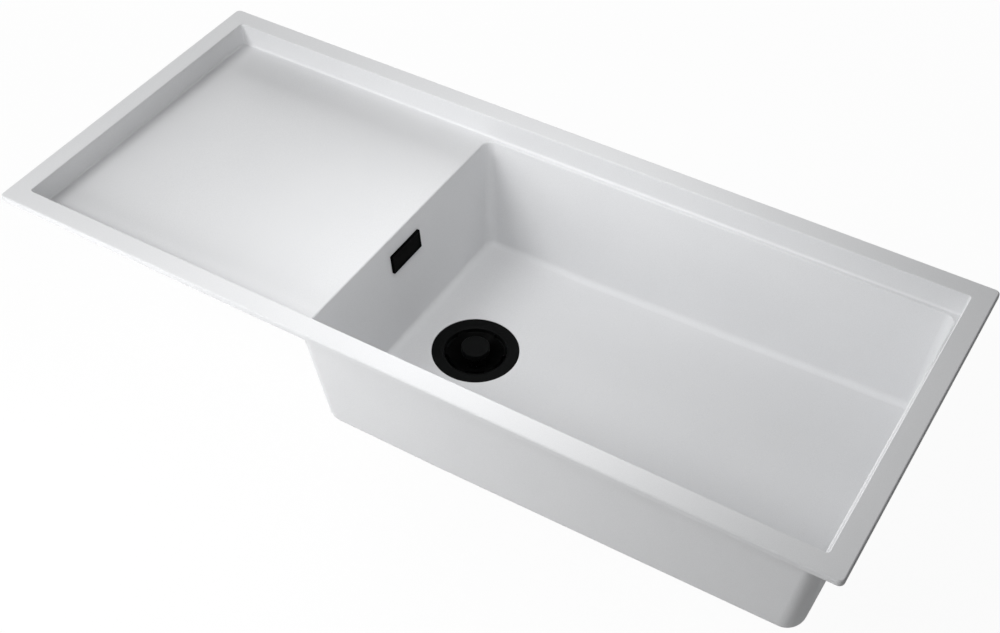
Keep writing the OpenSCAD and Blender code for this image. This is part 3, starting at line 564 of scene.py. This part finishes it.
def cavity():
    """Everything that is scooped out from above: the step, the board, the bowl and the waste hole."""
    rings = [plain_ring(POCKET_X + RIM_ROUND, POCKET_Y + RIM_ROUND, CUTTER_TOP, POCKET_CORNER + RIM_ROUND)]
    for k in range(7):
        a = math.radians(90 * k / 6)
        out = RIM_ROUND * (1 - math.sin(a)) - 0.04 * k / 6
        z = RIM_HEIGHT - RIM_ROUND * (1 - math.cos(a))
        rings.append(plain_ring(POCKET_X + out, POCKET_Y + out, z, POCKET_CORNER + out))
    fold_x = BOWL_LEFT - BOWL_ROUND
    broken = [with_break(ring, fold_x) for ring in rings]
    for turn in np.linspace(88, 0, 9):
        out = STEP_FILLET * math.sin(math.radians(turn))
        up = STEP_FILLET * (1 - math.cos(math.radians(turn)))
        x, y = POCKET_X - POCKET_CORNER, POCKET_Y - POCKET_CORNER
        broken.append(
            box_ring(-x, x, y, y, BOARD_Z + up, LEDGE_Z + up, max(out, 0.02), 8, fold_x, "right")
        )
    board_edge = broken[-1]
    step_points, step_faces = loft(broken, cap=False)
    step_faces.append(tuple(range(len(broken[0]))))

    mouth = []
    for k in range(7):
        a = math.radians(MOUTH_TURN * k / 6)
        out = BOWL_ROUND * (1 - math.sin(a))
        z = LEDGE_Z - BOWL_ROUND * (1 - math.cos(a))
        half_x = (BOWL_RIGHT - BOWL_LEFT) / 2 + out - END_LEAN * (LEDGE_Z - z) * k / 6
        mid = (BOWL_RIGHT + BOWL_LEFT) / 2
        r = BOWL_CORNER + out
        y = BOWL_Y + out - SIDE_LEAN * (LEDGE_Z - z) * k / 6 - r
        mouth.append(box_ring(mid - half_x + r, mid + half_x - r, y, y, z, z, r, 10, LEVEL_END, "left"))
    board_left = POCKET_CORNER - POCKET_X
    folds = [
        ((fold_x, side * (POCKET_Y - POCKET_CORNER)), (fold_x, side * (BOWL_Y - BOWL_CORNER))) for side in (-1, 1)
    ]

    def board_height(x):
        return BOARD_Z + (LEDGE_Z - BOARD_Z) * min(1.0, (x - board_left) / (fold_x - board_left))

    board = fill_between(board_edge, mouth[0], folds, board_height)
    turns = np.linspace(90 - math.degrees(SIDE_ANGLE), 0, 9)
    walls = mouth + [bowl_ring_at(0.0, 0.0, BOWL_CORNER, BOWL_FILLET, t, 10) for t in turns]
    wall_part = loft(walls, cap=False)
    base = walls[-1]
    height = floor_height(FLOOR_Z, max(p[0] for p in base))
    seat, seat_z, bore = FLANGE_SEAT_R, -FLANGE_SEAT_DEPTH, WASTE_HOLE_R
    hole = [
        (seat + 0.5, 0.0), (seat + 0.15, -0.15), (seat, -0.5), (seat, seat_z),
        (bore + 0.6, seat_z), (bore, seat_z - 0.6), (bore, -WASTE_HOLE_END),
    ]
    circle = [[(WASTE_X + x, y, FLOOR_Z + z) for x, y in arc((0, 0), r, 0, 360, HOLE_SIDES)[:-1]] for r, z in hole]
    fold = [p for p in base if abs(p[0] - LEVEL_END) < 1e-6]
    floor = fill_between(base, circle[0], [(fold[0], fold[1])], height)
    waste_points, waste_faces = loft(circle, cap=False)
    waste_faces.append(tuple(range((len(circle) - 1) * HOLE_SIDES, len(circle) * HOLE_SIDES)))
    return join_parts(
        "cavity", (step_points, step_faces), board, wall_part, floor, (waste_points, waste_faces)
    )


def with_break(ring, x):
    """The ring with one more point on its front and back sides."""
    steps = len(ring) // 4
    front, back = ring[0:steps], ring[2 * steps : 3 * steps]
    right_front, left_back = ring[steps : 2 * steps], ring[3 * steps :]
    z = ring[0][2]
    return front + [(x, front[-1][1], z)] + right_front + back + [(x, back[-1][1], z)] + left_back


OVERFLOW_DEPTH = 73.5
OVERFLOW_Z = RIM_HEIGHT - OVERFLOW_DEPTH
OVERFLOW = Matrix.Translation((BOWL_LEFT + END_LEAN * (LEDGE_Z - OVERFLOW_Z), 0, OVERFLOW_Z)) @ Matrix.Rotation(
    -WALL_ANGLE, 4, "Y"
)
WALL_ACROSS = BOWL_WALL * math.cos(WALL_ANGLE)
# x, y and the turn about the upright axis, in degrees
CLIP_PLACES = [(560, -130, 0), (560, 130, 0), (315, 230, 90), (-315, 230, 90), (-560, 130, 180), (-560, -130, 180)]
BOSS_BACK, BOSS_FRONT, BOSS_SIDE, BOSS_CORNER = 9, 8, 10, 2
CLIP_HOLE_R, CLIP_HOLE_DEPTH, CLIP_BORE_R, CLIP_BORE_TOP = 3.55, 12, 2.8, 31
GROOVE_INSET, GROOVE_WIDTH, GROOVE_DEPTH, GROOVE_CORNER = 4.0, 5.0, 1.5, 5.0


def standing(part):
    """Turns a part drawn in (y, z) as (x, y) with its depth along z into the overflow's frame."""
    turn = Matrix(((0, 0, 1, 0), (1, 0, 0, 0), (0, 1, 0, 0), (0, 0, 0, 1)))
    return moved(part, OVERFLOW @ turn)


def clip_frame(index):
    x, y, angle = CLIP_PLACES[index]
    return Matrix.Translation((x, y, 0)) @ Matrix.Rotation(math.radians(angle), 4, "Z")


def sink_body():
    obj = rim_and_tray()
    bosses = []
    back, front, side = BOSS_CORNER - BOSS_BACK, BOSS_FRONT - BOSS_CORNER, BOSS_SIDE - BOSS_CORNER
    frames = [clip_frame(index) for index in range(len(CLIP_PLACES))]
    for at in frames:
        rings = [
            box_ring(back, front, side, side, z, z, r, 4)
            for z, r in ((TRAY_Z, 1.4), (TRAY_Z + 0.6, BOSS_CORNER), (1.0, BOSS_CORNER))
        ]
        bosses.append(moved(loft(rings), at))
    combine(obj, [bowl_outer(), join_parts("bosses", *bosses)], "UNION")
    groove = [
        plain_ring(HALF_LENGTH - inset, HALF_DEPTH - inset, z, GROOVE_CORNER)
        for inset, z in (
            (GROOVE_INSET + GROOVE_WIDTH, -1.0), (GROOVE_INSET, -1.0), (GROOVE_INSET, GROOVE_DEPTH),
            (GROOVE_INSET + GROOVE_WIDTH, GROOVE_DEPTH),
        )
    ]
    groove_points, groove_faces = loft(groove + [groove[0]], cap=False)
    hole = cylinder(CLIP_HOLE_R, TRAY_Z - 1, TRAY_Z + CLIP_HOLE_DEPTH, sides=32)
    bore = cylinder(CLIP_BORE_R, TRAY_Z + CLIP_HOLE_DEPTH - 0.5, TRAY_Z + CLIP_BORE_TOP, sides=32)
    slot_rings = [box_ring(-19, 19, 0.0, 0.0, z, z, 9.0, 12) for z in (-WALL_ACROSS - 1.5, 1.5)]
    combine(obj, [cavity()], "DIFFERENCE")
    combine(
        obj,
        [
            join_parts("groove", (groove_points, groove_faces)),
            join_parts("clip_holes", *[moved(hole, at) for at in frames]),
            join_parts("clip_bores", *[moved(bore, at) for at in frames]),
            join_parts("overflow_hole", standing(loft(slot_rings))),
        ],
        "DIFFERENCE",
    )
    obj.name = "composite_body"
    dress(obj, "sink", "composite", ["sink_body"], 28.0)


# Waste: flange, basket, knob

AT_WASTE = (WASTE_X, 0, FLOOR_Z)


def cutters(name, *parts):
    return join_parts(name, *[moved(p, Matrix.Translation(AT_WASTE)) for p in parts])


def strainer():
    outline = [
        (59.0, -0.75), (58.35, 0.0), (46.0, -0.3), (42.0, -1.5), (42.0, -8.0), (39.0, -8.0), (39.0, -32.0),
        (31.0, -32.0), (31.0, -44.0), (0.0, -44.0), (0.0, -45.5), (32.5, -45.5), (32.5, -33.5), (40.5, -33.5),
        (40.5, -9.5), (43.5, -9.5), (43.5, -3.0), (43.5, -1.5), (59.0, -1.5),
    ]
    round_by = [0.4, 0.5, 6.0, 1.6, 1.0, 1.0, 1.0, 1.0, 1.5, 0, 0, 1.5, 1.0, 1.0, 1.0, 1.0, 0, 0, 0.1]
    obj = lathe("strainer_cup", soften(outline, round_by, 5), 144, AT_WASTE)
    holes = [
        cylinder(5.0, -47.0, -42.0, (20 * math.cos(math.radians(45 * k)), 20 * math.sin(math.radians(45 * k))), 40)
        for k in range(8)
    ]
    combine(obj, [cutters("cup_holes", cylinder(3.3, -47.0, -42.0), *holes)], "DIFFERENCE")
    dress(obj, "sink", "coated_steel", ["strainer_flange"])


def sector(inner, outer, low, high, middle, width, steps=10, ease=1.6):
    """A closed block between two radii and two angles, in degrees, with its inner corners rounded."""
    ends = [middle - width / 2, middle + width / 2]
    ring = arc((0, 0), outer, ends[0], ends[1], steps)
    round_by = math.degrees(ease / inner)
    inside = arc((0, 0), inner, ends[1] - round_by, ends[0] + round_by, steps)
    ring += [point_at(inner + ease, ends[1])] + inside + [point_at(inner + ease, ends[0])]
    return loft([[(x, y, z) for x, y in ring] for z in (low, high)])


def point_at(radius, angle):
    return radius * math.cos(math.radians(angle)), radius * math.sin(math.radians(angle))


def basket():
    low, sheet, foot, rim = -22.0, 1.4, -7.7, -2.6
    outline = [
        (41.4, foot), (41.4, rim), (38.4, rim), (15.0, low + sheet), (4.5, low + sheet), (4.5, low), (15.0, low),
        (38.4, rim - sheet), (38.4, foot),
    ]
    obj = lathe("strainer_basket", soften(outline, [0.4, 0.5, 2.0, 3.0, 0.3, 0.3, 3.0, 1.0, 0.4], 5), 144, AT_WASTE)
    cuts = [sector(36.8, 43.0, -9.0, -1.0, 60 * k, 40) for k in range(6)]
    for radius, count in ((8, 8), (12.5, 12)):
        for k in range(count):
            cuts.append(cylinder(1.5, low - 1, low + 4, point_at(radius, 360 * k / count), 20))
    combine(obj, [cutters("basket_cuts", *cuts)], "DIFFERENCE")
    # The darker coat paints the shade in the basket's hollow
    dress(obj, "basket", "coated_steel", ["basket"], material=SHADE_DARKENED_COAT)


def knob():
    top, r, edge, side, under = 7.5, 19.3, 0.8, 7.5, 1.8
    neck = top - edge - side - under
    seal = -28.7
    end = -36.0
    outline = [
        (0, top), (r - edge, top), (r, top - edge), (r, top - edge - side),
        (r * 0.9, neck), (7.0, neck), (4.2, neck - 3.5), (4.2, seal + 1), (9.0, seal + 1), (9.0, seal), (4.2, seal),
        (4.2, end), (0, end),
    ]
    round_by = [0, 1.0, 1.0, 0.8, 0.6, 1.0, 1.0, 0.2, 0.2, 0.2, 0.1, 0.5, 0]
    obj = lathe("basket_lift_knob", soften(outline, round_by, 4), 96, AT_WASTE)
    dress(obj, "plug", "coated_steel", ["basket_knob"])


# Overflow cover


def overflow_cover():
    half_x, half_y = 32.0, 14.0

    def ring(inset, depth, corner):
        return plain_ring(half_x - inset, half_y - inset, depth, max(corner - inset, 0.25), 5)

    rings = [ring(1.5, z, 1.9) for z in (2.6, 0.0)]
    rings += [ring(inset, z, 0.8) for inset, z in ((0, 0), (0, 3.4), (0.12, 3.78), (0.45, 4.0))]
    rings += [ring(inset, z, inset + 0.4) for inset, z in ((2.7, 4.0), (2.92, 3.9), (3.0, 3.7), (3.06, 3.5))]
    obj = join_parts("overflow_plate", standing(loft(rings)))
    mouth = loft([box_ring(-25 + 0.3, 25 - 0.3, 1.2, 1.2, z, z, 0.3, 3) for z in (-1.0, 1.8)])
    mouth = moved(mouth, Matrix.Translation((0, -half_y, 0)))
    combine(obj, [join_parts("cover_mouth", standing(mouth))], "DIFFERENCE")
    # The darker coat paints shade on the cover
    dress(obj, "sink", "coated_steel", ["overflow_cover"], material=SHADE_DARKENED_COAT)


# Ribbed hose

HOSE_TOP = (OVERFLOW.translation.x - WALL_ACROSS - 25.0, OVERFLOW_Z - 31.0)
HOSE_END = (WASTE_X - 72.0, FLOOR_Z - 34.0)
HOSE_BEND = 36.0
CUFF_ENTRY, CUFF_LENGTH, HOSE_R, CUFF_R, BORE_R = 12.0, 21.0, 12.5, 11.0, 9.0
HOSE_DROP = HOSE_TOP[1] - HOSE_END[1] - HOSE_BEND + CUFF_ENTRY
HOSE_RUN = HOSE_END[0] - HOSE_TOP[0] - HOSE_BEND + CUFF_ENTRY
HOSE_LENGTH = HOSE_DROP + HOSE_BEND * math.pi / 2 + HOSE_RUN


def hose_middle(s):
    """A point on the hose's middle and the direction it heads in, as an angle from straight down."""
    bend = HOSE_BEND * math.pi / 2
    turn = math.pi / 2 * max(0.0, min(1.0, (s - HOSE_DROP) / bend))
    past = max(0.0, s - HOSE_DROP - bend)
    x = HOSE_TOP[0] + HOSE_BEND * (1 - math.cos(turn)) + past
    z = HOSE_TOP[1] + CUFF_ENTRY - min(s, HOSE_DROP) - HOSE_BEND * math.sin(turn)
    return x, z, turn


def hose():
    sides = 48
    first = CUFF_ENTRY + CUFF_LENGTH
    ribbed = HOSE_LENGTH - 2 * first
    count = int(ribbed // 4.0)
    pitch = ribbed / count
    profile = [(0.0, CUFF_R - 0.4), (0.4, CUFF_R), (first - 0.6, CUFF_R), (first, CUFF_R - 0.2)]
    shape = [
        (0.0, -2.0), (0.12, -1.95), (0.24, -0.6), (0.36, -0.1),
        (0.5, 0.0), (0.64, -0.1), (0.76, -0.6), (0.88, -1.95),
    ]
    for k in range(count):
        profile += [(first + (k + at) * pitch, HOSE_R + out) for at, out in shape]
    profile += [(HOSE_LENGTH - first, CUFF_R - 0.2), (HOSE_LENGTH - first + 0.6, CUFF_R)]
    profile += [(HOSE_LENGTH - 0.4, CUFF_R), (HOSE_LENGTH, CUFF_R - 0.4)]
    profile += [(HOSE_LENGTH * (1 - k / 60), BORE_R) for k in range(61)]
    points = []
    for s, r in profile:
        x, z, turn = hose_middle(s)
        for k in range(sides):
            a = 2 * math.pi * k / sides
            out = r * math.cos(a)
            points.append((x + out * math.cos(turn), r * math.sin(a), z + out * math.sin(turn)))
    faces = []
    n = len(profile)
    for i in range(n):
        j = (i + 1) % n
        for k in range(sides):
            m = (k + 1) % sides
            faces.append((i * sides + k, i * sides + m, j * sides + m, j * sides + k))
    obj = mesh_object("ribbed_hose", points, faces)
    dress(obj, "sink", "grey_plastic", ["overflow_hose"], 50.0)


# CAD pieces that stay

STAY = {
    "seal_foam": ["rim_seal"],
    "seal_rubber": [
        "flange_gasket", "lower_gasket", "basket_seal", "overflow_gasket", "hose_cone_upper", "hose_cone_lower",
    ],
    "black_plastic": ["waste_body", "overflow_frame", "overflow_elbow", "hose_nut_upper", "hose_nut_lower"],
    "steel": ["waste_screw", "basket_nut", "overflow_screws"],
    "brass": ["waste_insert", "clip_inserts"],
    "zinc_steel": [f"clip_{kind}_{k}" for kind in ("screw", "washer", "claw") for k in range(1, 7)],
}


WELD_REACH, BEVEL, PLASTIC_BEVEL, BEVEL_ANGLE = 2e-6, 0.00025, 0.0005, 38


def keep_nodes():
    for slot, names in STAY.items():
        for name in names:
            obj = NODES[name]
            obj.data.materials.clear()
            obj.data.materials.append(MATERIALS[slot])
            weld = obj.modifiers.new("weld", "WELD")
            weld.merge_threshold = WELD_REACH
            edge = obj.modifiers.new("edges", "BEVEL")
            edge.width = PLASTIC_BEVEL if slot == "black_plastic" else BEVEL
            edge.segments = 2
            edge.limit_method = "ANGLE"
            edge.angle_limit = math.radians(BEVEL_ANGLE)
            edge.use_clamp_overlap = True
            normals = obj.modifiers.new("normals", "WEIGHTED_NORMAL")
            normals.keep_sharp = True


# Light, floor and background

LAMP_TARGET = (-0.05, 0.02, -0.1)
# name, place, diameter, watts
LIGHTS = [
    ("key_far", (-1.8, -2.5, 2.9), 1.6, 79.9),
    ("low_front_left", (-0.55, -0.95, 0.25), 0.4, 4.2),
    ("overhead", (0.06, -0.1, 0.45), 0.45, 1.9),
    ("low_back_left", (-1.8, 3.1, 0.8), 1.6, 90.6),
]
WORLD_LIGHT = 0.1
FLOOR_GLOW_SHARE = 0.95
FLOOR_REACH = 14.0
FLOOR_Z_M = cad_box[0].z - 0.0005


def make_lights():
    for name, place, size, power in LIGHTS:
        data = bpy.data.lights.new(name, "AREA")
        data.shape = "DISK"
        data.size = size
        data.energy = power
        data.color = (1.0, 1.0, 1.0)
        lamp = bpy.data.objects.new(name, data)
        scene.collection.objects.link(lamp)
        lamp.location = place
        lamp.rotation_mode = "QUATERNION"
        lamp.rotation_quaternion = (Vector(LAMP_TARGET) - Vector(place)).to_track_quat("-Z", "Y")
        lamp.visible_camera = False


def seen_directly(tree):
    """1 for camera, glossy and transmission rays."""
    path = tree.nodes.new("ShaderNodeLightPath")
    total = None
    for name in ("Is Camera Ray", "Is Glossy Ray", "Is Transmission Ray"):
        if total is None:
            total = path.outputs[name]
            continue
        add = tree.nodes.new("ShaderNodeMath")
        add.operation = "MAXIMUM"
        tree.links.new(total, add.inputs[0])
        tree.links.new(path.outputs[name], add.inputs[1])
        total = add.outputs[0]
    return total


def make_world():
    world = bpy.data.worlds.new("studio")
    scene.world = world
    world.use_nodes = True
    tree = world.node_tree
    tree.nodes.clear()
    out = tree.nodes.new("ShaderNodeOutputWorld")
    lit, seen = tree.nodes.new("ShaderNodeBackground"), tree.nodes.new("ShaderNodeBackground")
    lit.inputs["Color"].default_value = (1, 1, 1, 1)
    lit.inputs["Strength"].default_value = WORLD_LIGHT
    seen.inputs["Color"].default_value = (1, 1, 1, 1)
    seen.inputs["Strength"].default_value = 1.0
    mix = tree.nodes.new("ShaderNodeMixShader")
    tree.links.new(seen_directly(tree), mix.inputs[0])
    tree.links.new(lit.outputs[0], mix.inputs[1])
    tree.links.new(seen.outputs[0], mix.inputs[2])
    tree.links.new(mix.outputs[0], out.inputs[0])


def make_floor():
    mesh = bpy.data.meshes.new("studio_floor")
    corners = [(x * FLOOR_REACH, y * FLOOR_REACH) for x, y in ((-1, -1), (1, -1), (1, 1), (-1, 1))]
    mesh.from_pydata([(x, y, FLOOR_Z_M) for x, y in corners], [], [(0, 1, 2, 3)])
    floor = bpy.data.objects.new("studio_floor", mesh)
    scene.collection.objects.link(floor)
    material = bpy.data.materials.new("studio_floor")
    material.use_nodes = True
    tree = material.node_tree
    tree.nodes.clear()
    out = tree.nodes.new("ShaderNodeOutputMaterial")
    base, glow = tree.nodes.new("ShaderNodeBsdfDiffuse"), tree.nodes.new("ShaderNodeEmission")
    base.inputs["Color"].default_value = (0.9, 0.9, 0.9, 1)
    glow.inputs["Color"].default_value = (1, 1, 1, 1)
    share = tree.nodes.new("ShaderNodeMath")
    share.operation = "MULTIPLY"
    share.inputs[1].default_value = FLOOR_GLOW_SHARE
    tree.links.new(seen_directly(tree), share.inputs[0])
    mix = tree.nodes.new("ShaderNodeMixShader")
    tree.links.new(share.outputs[0], mix.inputs[0])
    tree.links.new(base.outputs[0], mix.inputs[1])
    tree.links.new(glow.outputs[0], mix.inputs[2])
    tree.links.new(mix.outputs[0], out.inputs[0])
    mesh.materials.append(material)


# The scene

make_camera()
make_world()
make_lights()
make_floor()
sink_body()
strainer()
basket()
knob()
overflow_cover()
hose()
keep_nodes()

scene.view_settings.view_transform = "Standard"

bpy.context.view_layer.update()
